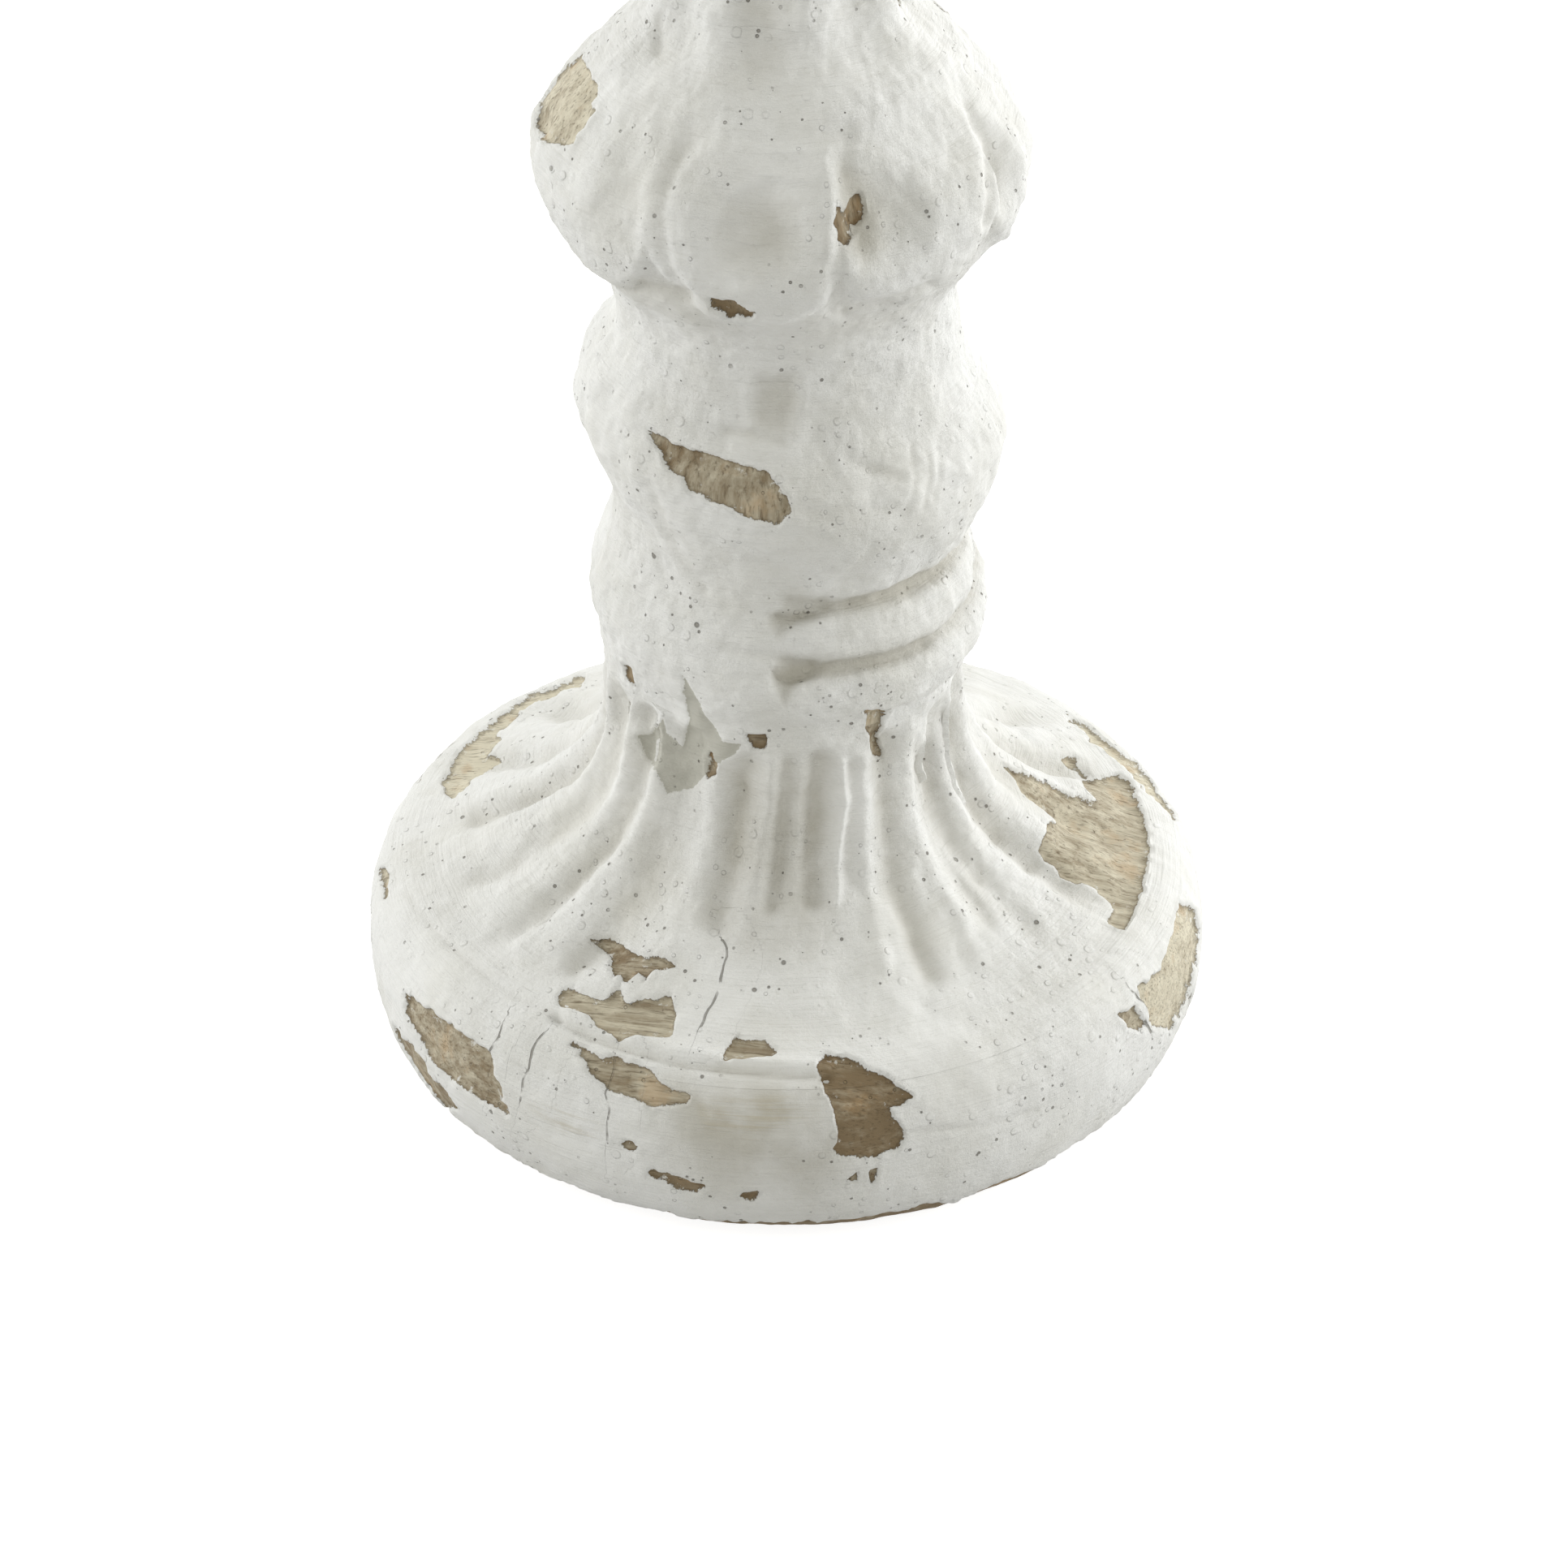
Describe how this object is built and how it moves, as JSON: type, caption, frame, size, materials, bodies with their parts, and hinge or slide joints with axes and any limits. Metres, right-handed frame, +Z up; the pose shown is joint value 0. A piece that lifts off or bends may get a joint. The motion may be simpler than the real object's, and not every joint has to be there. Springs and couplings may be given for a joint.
{
  "type": "carved wooden pillar candlestick",
  "caption": "Tall candlestick of turned and carved wood with a round plinth, fluted bell, beaded stem, petalled knop and a flared cup with an iron pricket plate for a pillar candle.",
  "frame": {"origin": "middle of the resting plane under the felt pads", "axes": "+Z up along the turned axis; -Y faces the viewer of the picture"},
  "size_m": [0.15, 0.15, 0.3627],
  "materials": {
    "chalk_paint": "thick matt white paint on carved wood, chipped to the bare wood",
    "dowel_wood": "bare hardwood",
    "zinc_steel": "zinc plated",
    "dark_iron": "dark, waxed",
    "felt": "pressed felt"
  },
  "bodies": {
    "root": {"base_plinth": "chalk_paint", "base_bell": "chalk_paint", "stem_knot": "chalk_paint", "stem_knop": "chalk_paint", "stem_shaft": "chalk_paint", "candle_cup": "chalk_paint", "knop_dowel": "dowel_wood", "shaft_dowel": "dowel_wood", "cup_dowel": "dowel_wood", "base_screw": "zinc_steel", "base_washer": "zinc_steel", "candle_plate": "dark_iron", "pricket_spike": "dark_iron", "felt_pad_1": "felt", "felt_pad_2": "felt", "felt_pad_3": "felt", "felt_pad_4": "felt"}
  },
  "joints": []
}
